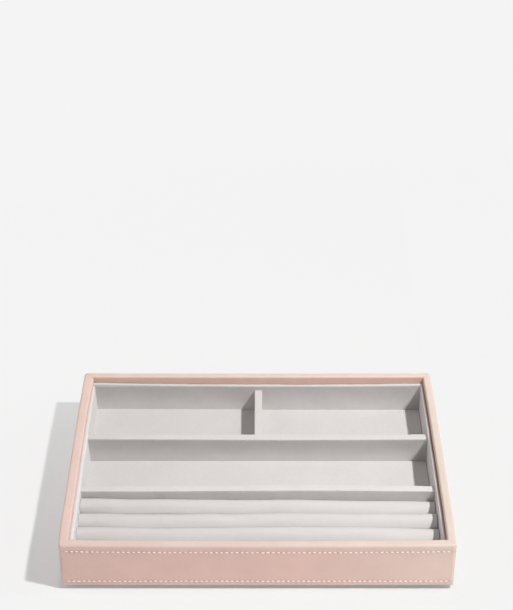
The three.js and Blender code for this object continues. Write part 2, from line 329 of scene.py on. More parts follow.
class Value:
    """A number that changes over a surface. Sums with it add Math nodes."""

    def __init__(self, graph: "Graph", socket: bpy.types.NodeSocket) -> None:
        """Wrap a node's output.

        Args:
            graph: The graph that the node is in.
            socket: The output.
        """
        self.graph = graph
        self.socket = socket

    def __add__(self, other: Any) -> "Value":
        """Sum."""
        return self.graph.math("ADD", self, other)

    def __radd__(self, other: Any) -> "Value":
        """Sum, with the number first."""
        return self.graph.math("ADD", other, self)

    def __sub__(self, other: Any) -> "Value":
        """Difference."""
        return self.graph.math("SUBTRACT", self, other)

    def __rsub__(self, other: Any) -> "Value":
        """Difference, with the number first."""
        return self.graph.math("SUBTRACT", other, self)

    def __mul__(self, other: Any) -> "Value":
        """Product."""
        return self.graph.math("MULTIPLY", self, other)

    def __rmul__(self, other: Any) -> "Value":
        """Product, with the number first."""
        return self.graph.math("MULTIPLY", other, self)

    def __truediv__(self, other: Any) -> "Value":
        """Quotient."""
        return self.graph.math("DIVIDE", self, other)

    def __rtruediv__(self, other: Any) -> "Value":
        """Quotient, with the number first."""
        return self.graph.math("DIVIDE", other, self)

    def __pow__(self, other: Any) -> "Value":
        """Power."""
        return self.graph.math("POWER", self, other)

    def __abs__(self) -> "Value":
        """Size without its sign."""
        return self.graph.math("ABSOLUTE", self)

    def least(self, other: Any) -> "Value":
        """The smaller of the two."""
        return self.graph.math("MINIMUM", self, other)

    def most(self, other: Any) -> "Value":
        """The larger of the two."""
        return self.graph.math("MAXIMUM", self, other)

    def part(self) -> "Value":
        """What is left over a whole number."""
        return self.graph.math("FRACT", self)

    def sine(self) -> "Value":
        """Sine of an angle in radians."""
        return self.graph.math("SINE", self)


class Graph:
    """The nodes of one material or of the world."""

    def __init__(self, owner: Any) -> None:
        """Start an empty graph.

        Args:
            owner: A material or a world.
        """
        owner.use_nodes = True
        self.tree = owner.node_tree
        self.tree.nodes.clear()

    def node(
        self, kind: str, settings: dict[str, Any] | None = None, inputs: dict[Any, Any] | None = None
    ) -> bpy.types.Node:
        """Add any node.

        Args:
            kind: Type of the node.
            settings: Properties of the node, set first.
            inputs: What goes into its sockets, by name or number: a number, a colour, a Value or an output.

        Returns:
            The node.
        """
        made = self.tree.nodes.new(kind)
        for name, setting in (settings or {}).items():
            setattr(made, name, setting)
        for name, given in (inputs or {}).items():
            source = given.socket if isinstance(given, Value) else given
            if isinstance(source, bpy.types.NodeSocket):
                self.tree.links.new(source, made.inputs[name])
            elif source is not None:
                made.inputs[name].default_value = source
        return made

    def math(self, operation: str, *operands: Any) -> Value:
        """A Math node on numbers and Values."""
        made = self.node("ShaderNodeMath", {"operation": operation}, dict(enumerate(operands)))
        return Value(self, made.outputs[0])

    def between(self, value: Value, low: float, high: float) -> Value:
        """Ease from 0 where a value is low to 1 where it is high."""
        span = {"Value": value, "From Min": low, "From Max": high}
        made = self.node("ShaderNodeMapRange", {"interpolation_type": "SMOOTHSTEP"}, span)
        return Value(self, made.outputs[0])

    def place(self) -> bpy.types.NodeSocket:
        """The place on the object, in metres."""
        return self.node("ShaderNodeTexCoord").outputs["Object"]

    def millimetres(self) -> tuple[Value, Value, Value]:
        """The place on the object as three numbers of millimetres."""
        return self.axes(self.stretched(self.place(), (1.0 / MM,) * 3))

    def flat_sheet(self) -> tuple[Value, Value]:
        """The place on the piece's own flat sheet."""
        return self.axes(self.node("ShaderNodeUVMap", {"uv_map": FLAT_SHEET}).outputs[0])[:2]

    def axes(self, vector: bpy.types.NodeSocket) -> tuple[Value, Value, Value]:
        """The three parts of a vector."""
        made = self.node("ShaderNodeSeparateXYZ", inputs={0: vector})
        return tuple(Value(self, output) for output in made.outputs)

    def stretched(self, vector: bpy.types.NodeSocket, scale: Row) -> bpy.types.NodeSocket:
        """A place scaled on each axis, for patterns that run along one."""
        return self.node("ShaderNodeMapping", inputs={"Vector": vector, "Scale": scale}).outputs[0]

    def noise(self, vector: bpy.types.NodeSocket, size: float, detail: float = 3.0) -> Value:
        """Cloudy noise about 0.

        Args:
            vector: Place, in metres.
            size: Size of a cloud, in millimetres.
            detail: How many finer layers there are.

        Returns:
            The noise, mostly between -0.3 and 0.3.
        """
        inputs = {"Vector": vector, "Scale": 1.0 / (size * MM), "Detail": detail, "Roughness": 0.55}
        return Value(self, self.node("ShaderNodeTexNoise", inputs=inputs).outputs["Fac"]) - 0.5

    def cells(self, vector: bpy.types.NodeSocket, size: float) -> Value:
        """Distance to the nearest of scattered points, whose spacing is a size in millimetres."""
        inputs = {"Vector": vector, "Scale": 1.0 / (size * MM)}
        return Value(self, self.node("ShaderNodeTexVoronoi", inputs=inputs).outputs["Distance"])

    def mix(self, share: Any, first: Any, second: Any) -> bpy.types.NodeSocket:
        """Blend two colours by a share from 0 to 1."""
        colours = [(*c, 1.0) if isinstance(c, tuple) else c for c in (first, second)]
        inputs = {0: share, 6: colours[0], 7: colours[1]}
        return self.node("ShaderNodeMix", {"data_type": "RGBA"}, inputs).outputs[2]

    def shaded(self, colour: Any, level: Value) -> bpy.types.NodeSocket:
        """A colour times a level."""
        inputs = {0: colour, "Scale": level}
        return self.node("ShaderNodeVectorMath", {"operation": "SCALE"}, inputs).outputs[0]

    def bump(self, height: Value, depth: float, strength: float) -> bpy.types.NodeSocket:
        """Relief from a height of about 0 to 1.

        Args:
            height: The height.
            depth: What a height of 1 stands for, in millimetres.
            strength: How far the relief turns the surface.

        Returns:
            The turned normal.
        """
        inputs = {"Height": height, "Distance": depth * MM, "Strength": strength}
        return self.node("ShaderNodeBump", inputs=inputs).outputs[0]

    def surface(self, **sockets: Any) -> None:
        """Finish the graph with a principled surface whose sockets are named with _ for a space."""
        inputs = {name.replace("_", " "): given for name, given in sockets.items()}
        made = self.node("ShaderNodeBsdfPrincipled", inputs=inputs)
        self.node("ShaderNodeOutputMaterial", inputs={"Surface": made.outputs[0]})


# Finishes


class Finish(ABC):
    """A finish, which makes its material once and puts it on pieces."""

    name: str
    slot: str

    @abstractmethod
    def build(self, graph: Graph) -> None:
        """Lay out the material's nodes."""

    def material(self) -> bpy.types.Material:
        """The finish's material, made when it is first asked for."""
        made = bpy.data.materials.get(self.name)
        if made is None:
            made = bpy.data.materials.new(self.name)
            self.build(Graph(made))
        return made

    def dress(self, piece: bpy.types.Object) -> None:
        """Put the finish on a piece."""
        piece.data.materials.clear()
        piece.data.materials.append(self.material())


@dataclass(frozen=True)
class Leatherette(Finish):
    """Blush leatherette with a fine pebbled grain; its paler rim and right end are painted light.

    The spans are where a change begins and ends: heights, distances from the middle, or places from left to
    right.
    """

    name: str = "blush_leatherette"
    slot: str = "leatherette"
    face: Colour = (0.715, 0.486, 0.428)
    # painted highlight: the rim's colour is the face's, paler and greyer where light falls on the top
    rim: Colour = (0.655, 0.523, 0.465)
    # painted light: the face and the rim turn paler towards the lamp on the right
    painted_light_face: Colour = (0.718, 0.540, 0.471)
    painted_light_rim: Colour = (0.606, 0.518, 0.450)
    # painted light and shade: the rim's left end, deeper and redder
    left_rim: Colour = (0.695, 0.525, 0.463)
    # painted shade: the colour of the inner faces that lie in shade
    inner: Colour = (0.720, 0.488, 0.405)
    # painted shade in the needle holes
    hole: Colour = (0.30, 0.17, 0.145)
    hole_edge: Span = (0.10, 0.55)
    # painted shade along the crease of each sewn row
    crease_edge: Span = (0.1, 1.1)
    # heights where the painted highlight over the rim begins and is full
    stretched: Span = (34.7, 36.7)
    # painted highlight on the turned-under hem
    turned_under: Span = (4.2, 5.4)
    # painted light on the band above the upper row
    painted_light_above_row: Span = (31.2, 32.5)
    corner_x: Span = (123.0, 125.5)
    corner_y: Span = (87.5, 90.0)
    inner_wall: Span = (121.2, 85.1)
    inner_edge: Span = (-0.4, 0.4)
    inner_left: Span = (-117.5, -116.5)
    # spans of painted light towards the right, and of painted shade towards the left
    painted_light_face_span: Span = (10.0, 126.0)
    painted_light_rim_span: Span = (88.0, 122.0)
    painted_shade_face_span: Span = (30.0, 126.0)
    darker_rim: Span = (117.0, 121.0)

    def build(self, graph: Graph) -> None:
        """Mottled colour, painted light and shade, worn corners, needle holes, and a pebbled relief.

        The flat-sheet map gives stitches along and millimetres off the nearest sewn row. A needle hole lies
        half-way between two stitches on each sewn row and is darkened as painted shade, like the crease along
        each row. The rim's paler colour is a painted highlight that begins higher towards a wall's ends; the
        band above the upper row, the turned-under hem and the right end of the face are painted paler too,
        and the rim is painted paler towards the right-hand front, lighter towards the back and deeper and
        redder at its left end. The inner faces of the front, back and right walls, which lie in shade, are
        painted deeper in colour, while the left one, which faces the lamp, keeps the face colour; the left of
        the front is painted a little darker. Corners are paler with wear.
        """
        place = graph.place()
        x, y, z = graph.millimetres()
        along, off = graph.flat_sheet()
        off_row = abs(off)
        off_hole = abs(along.part() - 0.5) * STITCH_PITCH
        hole = 1.0 - graph.between((off_row**2.0 + off_hole**2.0) ** 0.5, *self.hole_edge)
        # painted shade along each sewn row's crease
        crease_shade = 1.0 - graph.between(off_row, *self.crease_edge)
        clouds = graph.noise(place, 16.0)
        specks = graph.noise(place, 0.9, 4.0)
        pebbles = graph.cells(graph.stretched(place, (1.0, 1.0, 1.15)), 0.62)
        # painted highlight over the rim
        stretch = graph.between(z + clouds * 1.6 - (along / 38.0) ** 2.0 * 0.8, *self.stretched)
        # painted highlight on the hem
        hem = 1.0 - graph.between(z, *self.turned_under)
        corner = graph.between(abs(x), *self.corner_x) * graph.between(abs(y), *self.corner_y)
        # painted shade on the inner faces of the front, back and right walls; the left one faces the lamp
        into_wall = (abs(x) - self.inner_wall[0]).most(abs(y) - self.inner_wall[1])
        inside = 1.0 - graph.between(into_wall, *self.inner_edge)
        # painted light on the band above the upper row
        above = graph.between(z, *self.painted_light_above_row) * (1.0 - inside)
        # painted highlights on the rim, the band above the upper row and the hem, with paler worn corners
        painted_light_and_wear = stretch.most(above * 0.3).most(corner * 0.5).most(hem * 0.9)
        # painted light towards the right, then painted shade on the inner faces
        face = graph.mix(graph.between(x, *self.painted_light_face_span), self.face, self.painted_light_face)
        face = graph.mix(inside * graph.between(x, *self.inner_left), face, self.inner)
        # painted light across the rim: paler to the right-hand front, deeper and redder at the left end
        rim = graph.mix(graph.between(x - y * 0.25, *self.painted_light_rim_span), self.rim, self.painted_light_rim)
        rim = graph.mix(graph.between(-1.0 * x, *self.darker_rim), rim, self.left_rim)
        colour = graph.mix(painted_light_and_wear, face, rim)
        # painted shade along the creases and on the left of the front, the rim painted lighter towards the
        # back, and the hem's painted highlight toned down
        level = 1.0 + clouds * 0.14 + specks * 0.10 - crease_shade * 0.07 - pebbles * 0.05 + stretch * y * 0.0004
        level = level - graph.between(-1.0 * x, *self.painted_shade_face_span) * (1.0 - stretch) * 0.03 - hem * 0.05
        # painted shade in the needle holes
        colour = graph.mix(hole * 0.45, graph.shaded(colour, level), self.hole)
        grain = (1.0 - pebbles) * 0.7 + specks * 0.9 - hole * 1.5
        graph.surface(
            Base_Color=colour,
            Roughness=0.48 + specks * 0.22 + stretch * 0.04,
            Normal=graph.bump(grain, 0.05, 0.45),
            Specular_IOR_Level=0.4,
        )


@dataclass(frozen=True)
class Velvet(Finish):
    """Pale grey velvet: short dense pile, brushed into lighter and darker patches."""

    name: str = "grey_velvet"
    slot: str = "velvet"
    colour: Colour = (0.59, 0.566, 0.555)
    brushed: Row = (1.0, 1.0, 1.0)
    # below this height upright faces get painted bounce light and the right wall's painted shadow
    upright: float = 0.0
    fold: float = 0.6
    # the edge of the right wall's painted shadow: its slope and its span
    painted_shadow_slope: float = 0.674
    corner: Span = (97.8, 102.6)

    def build(self, graph: Graph) -> None:
        """Patches and clumps of pile shade the colour; the clumps and single tufts make the relief.

        The brushed field scales the place on each axis before the patches are drawn, so that they run along
        the axis with the small number. Below the upright field's height an upright face is painted lighter
        towards the floor and a little lighter to the right, as painted bounce light, and darker in the
        right-hand corner, as the painted shadow of the right wall, whose edge slopes outwards going up.
        """
        place = graph.place()
        patches = graph.noise(graph.stretched(place, self.brushed), 24.0, 2.0)
        clumps = graph.noise(graph.stretched(place, self.brushed), 2.6, 3.0)
        tufts = graph.noise(place, 0.45, 3.0)
        level = 1.0 + patches * 0.09 + clumps * 0.09 + tufts * 0.16
        if self.upright:
            right, _, up = graph.millimetres()
            below = 1.0 - graph.between(up, self.upright, self.upright + self.fold)
            height = graph.between(up, PAD_TOP, self.upright)
            # painted shadow of the right wall in the right-hand corner
            corner = graph.between(right - up * self.painted_shadow_slope, *self.corner)
            # painted bounce light: lighter towards the floor and a little to the right
            painted_bounce_light = 0.12 - height * 0.25 + right * 0.00035
            level = level + below * (painted_bounce_light * (1.0 - corner) - corner * (0.24 - height * 0.06))
        graph.surface(
            Base_Color=graph.shaded(self.colour, level),
            Roughness=0.92 + clumps * 0.10,
            Normal=graph.bump(tufts + clumps * 0.8, 0.16, 0.55),
            Specular_IOR_Level=0.15,
            Sheen_Weight=0.22,
            Sheen_Roughness=0.45,
            Sheen_Tint=(0.96, 0.94, 0.93, 1.0),
        )


@dataclass(frozen=True)
class Thread(Finish):
    """Pale pink sewing thread of twisted plies."""

    name: str = "pink_thread"
    slot: str = "leatherette"
    colour: Colour = (0.925, 0.74, 0.67)
    twist: float = 0.85
    plies: float = 2.0

    def build(self, graph: Graph) -> None:
        """Slanting plies from the flat map, which gives millimetres along and turns around the thread."""
        place = graph.place()
        along, around = graph.flat_sheet()
        plies = ((along / self.twist + around * self.plies) * math.tau).sine() * 0.5 + 0.5
        fuzz = graph.noise(place, 0.22, 3.0)
        level = 0.90 + plies * 0.14 + fuzz * 0.25
        graph.surface(
            Base_Color=graph.shaded(self.colour, level),
            Roughness=0.62 + fuzz * 0.2,
            Normal=graph.bump(plies + fuzz * 0.5, 0.09, 0.7),
            Sheen_Weight=0.15,
        )


@dataclass(frozen=True)
class Felt(Finish):
    """Grey needled felt."""

    name: str = "grey_felt"
    slot: str = "felt"
    # painted bounce light: the grey is warmed towards the pink of the leatherette
    colour: Colour = (0.315, 0.266, 0.248)

    def build(self, graph: Graph) -> None:
        """Matted fibres: stretched noise in two directions, over soft clouds."""
        place = graph.place()
        clouds = graph.noise(place, 9.0)
        fibres = graph.noise(graph.stretched(place, (1.0, 0.25, 1.0)), 0.35, 3.0)
        crossed = graph.noise(graph.stretched(place, (0.25, 1.0, 1.0)), 0.4, 3.0)
        level = 1.0 + clouds * 0.25 + fibres * 0.4 + crossed * 0.4
        graph.surface(
            Base_Color=graph.shaded(self.colour, level),
            Roughness=0.95 + clouds * 0.08,
            Normal=graph.bump(fibres + crossed, 0.22, 0.6),
            Specular_IOR_Level=0.1,
            Sheen_Weight=0.2,
        )


@dataclass(frozen=True)
class Fibreboard(Finish):
    """Brown fibreboard with fine pressed fibres."""

    name: str = "brown_fibreboard"
    slot: str = "board"
    colour: Colour = (0.42, 0.27, 0.145)

    def build(self, graph: Graph) -> None:
        """Short fibres and darker flecks over a clouded brown."""
        place = graph.place()
        clouds = graph.noise(place, 14.0)
        fibres = graph.noise(graph.stretched(place, (0.3, 1.0, 1.0)), 0.6, 4.0)
        flecks = graph.between(graph.cells(place, 2.4), 0.05, 0.22)
        level = 0.86 + clouds * 0.25 + fibres * 0.35 + flecks * 0.14
        graph.surface(
            Base_Color=graph.shaded(self.colour, level),
            Roughness=0.78 + fibres * 0.2,
            Normal=graph.bump(fibres, 0.12, 0.5),
        )


@dataclass(frozen=True)
class GreyCard(Finish):
    """Grey backing card of recycled pulp."""

    name: str = "grey_card"
    slot: str = "card"
    colour: Colour = (0.35, 0.325, 0.295)

    def build(self, graph: Graph) -> None:
        """Flecks of paler and darker pulp over a clouded grey."""
        place = graph.place()
        clouds = graph.noise(place, 8.0)
        pulp = graph.noise(place, 0.5, 4.0)
        flecks = 1.0 - graph.between(graph.cells(place, 3.1), 0.04, 0.12)
        level = 1.0 + clouds * 0.16 + pulp * 0.24 - flecks * 0.3
        graph.surface(
            Base_Color=graph.shaded(self.colour, level),
            Roughness=0.86 + pulp * 0.15,
            Normal=graph.bump(pulp, 0.06, 0.4),
        )


class Finishes(Enum):
    """The finishes of this tray."""

    LEATHERETTE = Leatherette()
    VELVET = Velvet()
    # painted light: the left liner faces the lamp and is made paler
    LEFT_VELVET = Velvet("grey_velvet_left_painted_light", colour=(0.645, 0.632, 0.628))
    # these two paint bounce light and the right wall's shadow on their upright faces
    LINER_VELVET = Velvet("grey_velvet_long_liner_painted_light", upright=29.7)
    DIVIDER_VELVET = Velvet("grey_velvet_rear_divider_painted_light", upright=27.6)
    # painted light: the front divider paler than the plain velvet
    FRONT_VELVET = Velvet("grey_velvet_front_divider_painted_light", colour=(0.607, 0.584, 0.573))
    # painted shade: the rolls a little darker than the plain velvet
    ROLL_VELVET = Velvet("grey_velvet_brushed_along_painted_shade", colour=(0.578, 0.555, 0.544), brushed=(0.12, 1.0, 1.0))
    THREAD = Thread()
    FELT = Felt()
    BOARD = Fibreboard()
    CARD = GreyCard()

    def dress(self, piece: bpy.types.Object, *nodes: str) -> None:
        """Finish a new piece: material, body, and the CAD nodes that it stands for.

        Args:
            piece: The piece.
            nodes: Names of the CAD nodes that it replaces.
        """
        self.value.dress(piece)
        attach(piece, BODY)
        if nodes:
            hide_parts(*nodes)
        LOG.info("%s: %d faces, %s", piece.name, len(piece.data.polygons), self.value.name)


# The tray


class Side(Enum):
    """The four walls, as quarter turns of the front one."""

    FRONT = 0
    RIGHT = 1
    BACK = 2
    LEFT = 3

    @property
    def label(self) -> str:
        """The name that the side's CAD nodes start with."""
        return self.name.lower()

    @property
    def long(self) -> bool:
        """Whether the wall runs along X."""
        return self.value % 2 == 0

    @property
    def length(self) -> float:
        """The wall's length over its outside."""
        return WIDTH if self.long else DEPTH

    def turned(self, along: Array, inward: Array, up: Array) -> Array:
        """Places on the wall as places of the tray.

        Args:
            along: Distance along the wall from its middle, to the right as seen from outside.
            inward: Distance in from the outside of the wall.
            up: Height.

        Returns:
            The places, with a last axis of three.
        """
        cosine, sine = [(1, 0), (0, 1), (-1, 0), (0, -1)][self.value]
        along, inward, up = np.broadcast_arrays(along, inward, up)
        out = inward - (DEPTH if self.long else WIDTH) / 2
        return np.stack([cosine * along - sine * out, sine * along + cosine * out, up], axis=-1)


@dataclass(frozen=True)
class CaseCover:
    """Leatherette covers of the four walls, and the thread that sews them."""

    bottom: float = 2.7
    wall: float = 5.8
    sheet: float = 0.8
    corner: float = 2.0
    rim_outside: float = 1.7
    rim_inside: float = 1.1
    hem: float = 1.2
    flap_end: float = 22.8
    flap_fade: float = 12.0
    fuller: tuple[Row, ...] = ((0.2, -0.4, 0.2), (0.0, -0.3, -0.35), (-0.4, -0.4, -0.4), (1.4, 0.7, 0.5))
    seam: float = 0.06
    seam_dip: float = 0.07
    seam_width: float = 0.5
    section_steps: Row = (1.3, 0.6, 0.33, 1.6, 0.33, 0.8, 0.8, 1.3)
    step: float = 0.64
    edge: float = 3.0
    edge_step: float = 0.25
    sewn: Span = (6.85, 31.1)
    near_row: float = 2.0
    between_rows: Span = (15.0, 20.0)
    drift: float = 0.3
    drifting: Span = (0.45, 1.0)
    uneven: float = 0.05
    rim_uneven: float = 0.03
    end_fade: float = 5.0
    dip: float = 0.13
    dip_width: float = 0.6
    trough: float = 0.07
    trough_width: float = 2.0
    pucker: float = 0.03
    pucker_reach: float = 1.5
    margin: float = 2.2
    stitch: float = 2.25
    thread: float = 0.41
    bulge: float = 0.17
    plunge: float = 0.46
    taper: float = 0.82
    flattened: float = 0.85
    tip: Span = (1.04, -0.30)
    sunk: float = 0.22
    wander: float = 0.05
    length_spread: float = 0.04
    slant: Span = (3.5, 1.6)
    lift_spread: float = 0.025
    places: int = 7
    around: int = 6
    sheet_seed: int = 11
    rim_seed: int = 31
    thread_seed: int = 70

    def section(self) -> Array:
        """The cover's seen side across a wall: under the hem, up, over the rim and down inside.

        Returns:
            Points as (inward, up), closer together near the sewn rows.
        """
        low, high = self.sewn
        corners = [
            (self.wall, self.bottom, 0.0),
            (0.0, self.bottom, self.hem),
            (0.0, low - self.near_row, 0.0),
            (0.0, low + self.near_row, 0.0),
            (0.0, high - self.near_row, 0.0),
            (0.0, high + self.near_row, 0.0),
            (0.0, HEIGHT, self.rim_outside),
            (self.wall, HEIGHT, self.rim_inside),
            (self.wall, self.flap_end, 0.0),
        ]
        return folded(corners, self.section_steps)

    def stitches(self, length: float) -> int:
        """How many stitches a row has: an odd number, so that one is in the middle."""
        return 2 * int((length / 2 - self.margin - self.stitch / 2) / STITCH_PITCH) + 1

    def row_lift(self, along: Array, length: float) -> Array:
        """How far the upper row rises towards both ends of a wall, as it was sewn by hand."""
        return self.drift * smooth(*self.drifting, np.abs(along) / (length / 2))

    def pulled(self, along: Array, up: Array, seed: int) -> Array:
        """How far the sewn and stretched sheet lies in from the flat wall.

        Formula: on each sewn row a narrow dip, deeper between stitches, in a wide shallow trough, with
        slanting puckers that fade away from the row, and a slow unevenness over the whole sheet.

        Args:
            along: Place along the wall.
            up: Height.
            seed: Seed of the unevenness.

        Returns:
            The distance inwards.
        """
        total = self.uneven + self.uneven * ripple(along, up, 28.0, seed)
        turn = math.tau / STITCH_PITCH
        beat = 1.0 - 0.35 * np.cos(along * turn)
        for row in self.sewn:
            off = up - row
            slant = np.cos((along + 0.5 * off) * turn + 0.6 * ripple(along, off, 30.0, seed + 1))
            total = total + self.dip * bell(off, self.dip_width) * beat
            total = total + self.trough * bell(off, self.trough_width)
            total = total - self.pucker * slant * np.exp(-np.abs(off) / self.pucker_reach)
        return total

    def mitred(self, share: Array, inward: Array, length: float) -> tuple[Array, Array]:
        """Carry a section along a wall and round into both mitres.

        Formula: at an inset t the run is straight for half the length less the larger of t and the corner
        radius, and then an eighth of a circle of what is left of that radius, up to the mitre.

        Args:
            share: Place along the wall, from -1 to 1.
            inward: Inset of each point.
            length: The wall's length.

        Returns:
            Along and inward, for each place and each point of the section.
        """
        left = np.clip(self.corner - inward, 0.0, None)
        straight = length / 2 - np.maximum(self.corner, inward)
        half = straight + left * math.pi / 4 - self.seam * 0.5**0.5
        gone = np.abs(share) * half
        turn = np.clip(gone - straight, 0.0, None) / np.maximum(left, TINY)
        along = np.sign(share) * (np.minimum(gone, straight) + left * np.sin(turn))
        return along, np.where(left > 0.0, self.corner - left * np.cos(turn), inward)

    def cover(self, side: Side) -> bpy.types.Object:
        """One wall's cover.

        Formula: the section is carried along the wall and dips in by a bell curve towards the mitre seams.
        The inner side is fuller by the values at the left end, the middle and the right end, which blend by
        the cube of the distance from the middle and fade out down the flap.

        Args:
            side: Which wall.

        Returns:
            The piece.
        """
        half = side.length / 2
        seen = self.section()
        normal = outward(seen)
        back = (seen - normal * self.sheet)[::-1][::4]
        ring = np.concatenate([seen, back])
        push = np.concatenate([normal, np.zeros_like(back)])
        share = drawn_out(1.0, self.step / half, self.edge / half, self.edge_step / half)[:, None]
        rough_along, end = share * half, (1.0 - np.abs(share)) * half
        outside = np.clip(-push[:, 0], 0.0, 1.0)
        lift = self.row_lift(rough_along, side.length) * smooth(*self.between_rows, ring[:, 1])
        dip = outside * self.pulled(rough_along, ring[:, 1] - lift, self.sheet_seed + side.value)
        over_rim = ripple(rough_along, ring[:, 0] * 3.0, 26.0, self.rim_seed + side.value)
        dip = dip + (1.0 - outside) * self.rim_uneven * over_rim
        dip = dip * smooth(0.0, self.end_fade, end) + self.seam_dip * bell(end, self.seam_width)
        first, middle, last = self.fuller[side.value]
        fuller = middle + (np.where(share < 0.0, first, last) - middle) * np.abs(share) ** 3
        inside = smooth(0.5, 1.0, ring[:, 0] / self.wall)
        inside = inside * np.clip((ring[:, 1] - self.flap_end) / self.flap_fade, 0.0, 1.0)
        inward = ring[:, 0] - dip * push[:, 0] + fuller * inside
        up = ring[:, 1] - dip * push[:, 1]
        along, inward = self.mitred(share, inward, side.length)
        flat = self.flat_map(along, self.sheet_run(ring) - lift, side.length)
        return tube(f"{side.label}_wall_cover", HAND_WORK.moved(side.turned(along, inward, up)), flat)

    def flat_map(self, along: Array, run: Array, length: float) -> Array:
        """Where points lie on the flat sheet.

        Args:
            along: Places along the wall.
            run: Millimetres up the flat sheet.
            length: The wall's length.

        Returns:
            Stitches along, up to the row's ends, and millimetres off the nearest sewn row.
        """
        edge = self.stitches(length) / 2 + 0.5
        low, high = self.row_runs()
        off = np.where(run < (low + high) / 2, run - low, run - high)
        return np.stack(np.broadcast_arrays(np.clip(along / STITCH_PITCH, -edge, edge), off), axis=-1)

    def sheet_run(self, ring: Array) -> Array:
        """Millimetres up the flat sheet at each point of a ring, counted along its line."""
        return np.concatenate([[0.0], np.cumsum(np.linalg.norm(np.diff(ring, axis=0), axis=1))])

    def row_runs(self) -> Span:
        """Where the two sewn rows lie on the flat sheet."""
        seen = self.section()
        run = self.sheet_run(seen)
        face = (seen[:, 0] == 0.0) & (seen[:, 1] < HEIGHT)
        return tuple(float(np.interp(row, seen[face, 1], run[face])) for row in self.sewn)

    def one_stitch(self) -> Array:
        """A stitch about its own middle: rings of points along a line, and then its two tips.

        Formula: the height over the sheet falls by the cube of the distance from the middle, so that the ends
        go into the needle holes, and the thickness by the sixth power.

        Returns:
            Points as (share of half the length, out, up).
        """
        place = np.linspace(-1.0, 1.0, self.places)[:, None]
        angle = np.linspace(0.0, math.tau, self.around + 1)[:-1]
        thick = self.thread * np.sqrt(1.0 - self.taper * place**6)
        out = self.bulge - self.plunge * np.abs(place) ** 3 + self.flattened * thick * np.cos(angle)
        rings = np.stack(np.broadcast_arrays(place, out, thick * np.sin(angle)), axis=-1)
        tip, depth = self.tip
        return np.concatenate([rings.reshape(-1, 3), [[-tip, depth, 0.0], [tip, depth, 0.0]]])

    def stitching(self, side: Side) -> bpy.types.Object:
        """Both rows of stitches of one wall.

        Formula: copies of one stitch at an even pitch along each row, each with a seeded place, length, slant
        and height.

        Args:
            side: Which wall.

        Returns:
            The piece.
        """
        row = self.stitches(side.length)
        count = 2 * row
        rng = np.random.default_rng(self.thread_seed + side.value)
        base = self.one_stitch()
        along = np.tile((np.arange(row) - row // 2) * STITCH_PITCH, 2) + rng.normal(0.0, self.wander, count)
        level = np.repeat(self.sewn, row) + rng.normal(0.0, self.wander, count)
        level[row:] += self.row_lift(along[row:], side.length)
        half = self.stitch / 2 * rng.normal(1.0, self.length_spread, count)
        slant = np.radians(rng.normal(*self.slant, count))
        lift = rng.normal(0.0, self.lift_spread, count)
        step = base[:, 0] * half[:, None]
        places = along[:, None] + step * np.cos(slant)[:, None]
        up = level[:, None] + step * np.sin(slant)[:, None] + base[:, 2]
        inward = self.sunk - base[:, 1] - lift[:, None]
        points = HAND_WORK.moved(side.turned(places, inward, up)).reshape(-1, 3)
        turn = np.arange(self.around)
        onward = (turn + 1) % self.around
        tip = self.places * self.around
        last = tip - self.around
        first_end = np.stack([np.full_like(turn, tip), onward, turn], axis=1)
        last_end = np.stack([np.full_like(turn, tip + 1), last + turn, last + onward], axis=1)
        start = (np.arange(count) * len(base))[:, None, None]
        quads = (grid_quads(self.places, self.around, wrap=True)[None] + start).reshape(-1, 4)
        tips = (np.concatenate([first_end, last_end])[None] + start).reshape(-1, 3)
        angle = np.append(np.tile(turn / self.around, self.places), [0.0, 0.0])
        flat = np.stack(np.broadcast_arrays(step, angle), axis=-1).reshape(-1, 2)
        return mesh_piece(f"{side.label}_stitching", points, [quads, tips], flat)

    def build(self) -> None:
        """Make and dress the covers and the stitching of all four walls."""
        for side in Side:
            Finishes.LEATHERETTE.dress(self.cover(side), f"{side.label}_leatherette")
            Finishes.THREAD.dress(self.stitching(side))


@dataclass(frozen=True)
class SleevedCard:
    """Velvet pulled over the top of an upright card: a liner or a divider."""

    skin: float = 0.6
    edge: float = 0.9
    slack: float = 0.12
    step: float = 1.6
    top_step: float = 0.5
    along_step: float = 1.6
    end_run: float = 2.0
    end_step: float = 0.4
    held: float = 9.0
    end_fade: float = 6.0
    waves: Span = (34.0, 9.0)
    fine_share: float = 0.35

    def ring(
        self, near: float, far: float, near_foot: float, far_foot: float, top: float
    ) -> tuple[Array, Array]:
        """The sleeve across the card, as a closed ring of (across, up), and how each point is pushed out.

        Args:
            near: Face on the low side.
            far: Face on the high side.
            near_foot: Where the velvet ends on the near face.
            far_foot: Where it ends on the far face.
            top: Height of the sleeve.

        Returns:
            The ring, and its outward directions, which are zero on the back of the velvet.
        """
        corners = [
            (near, near_foot, 0.0),
            (near, top, self.edge),
            (far, top, self.edge),
            (far, far_foot, 0.0),
        ]
        seen = folded(corners, [self.step, self.top_step, self.step], 5)
        normal = outward(seen)
        back = seen[::-1] - normal[::-1] * self.skin
        return np.concatenate([seen, back]), np.concatenate([normal, np.zeros_like(back)])

    def swollen(self, ring: Array, push: Array, along: Array, seed: int) -> tuple[Array, Array]:
        """The ring at each place along the card, with the velvet's slack.

        Formula: the seen side moves along its normal by the slack times a seeded unevenness, which fades out
        towards the floor and at both ends.

        Args:
            ring: Points across the card.
            push: Their outward directions.
            along: Places along the card, one a row.
            seed: Seed of the unevenness.

        Returns:
            Across and up, for each place along and each point of the ring.
        """
        held = smooth(FLOOR, FLOOR + self.held, ring[:, 1])
        girth = np.cumsum(np.linalg.norm(np.diff(ring, axis=0, prepend=ring[:1]), axis=1))
        slow, fine = self.waves
        move = self.slack * held * ripple(along, girth * 1.5, slow, seed)
        move = move + self.fine_share * self.slack * ripple(along, girth, fine, seed + 1) * held
        move = move * smooth(0.0, self.end_fade, along.max() - np.abs(along))
        return ring[:, 0] + move * push[:, 0], ring[:, 1] + move * push[:, 1]


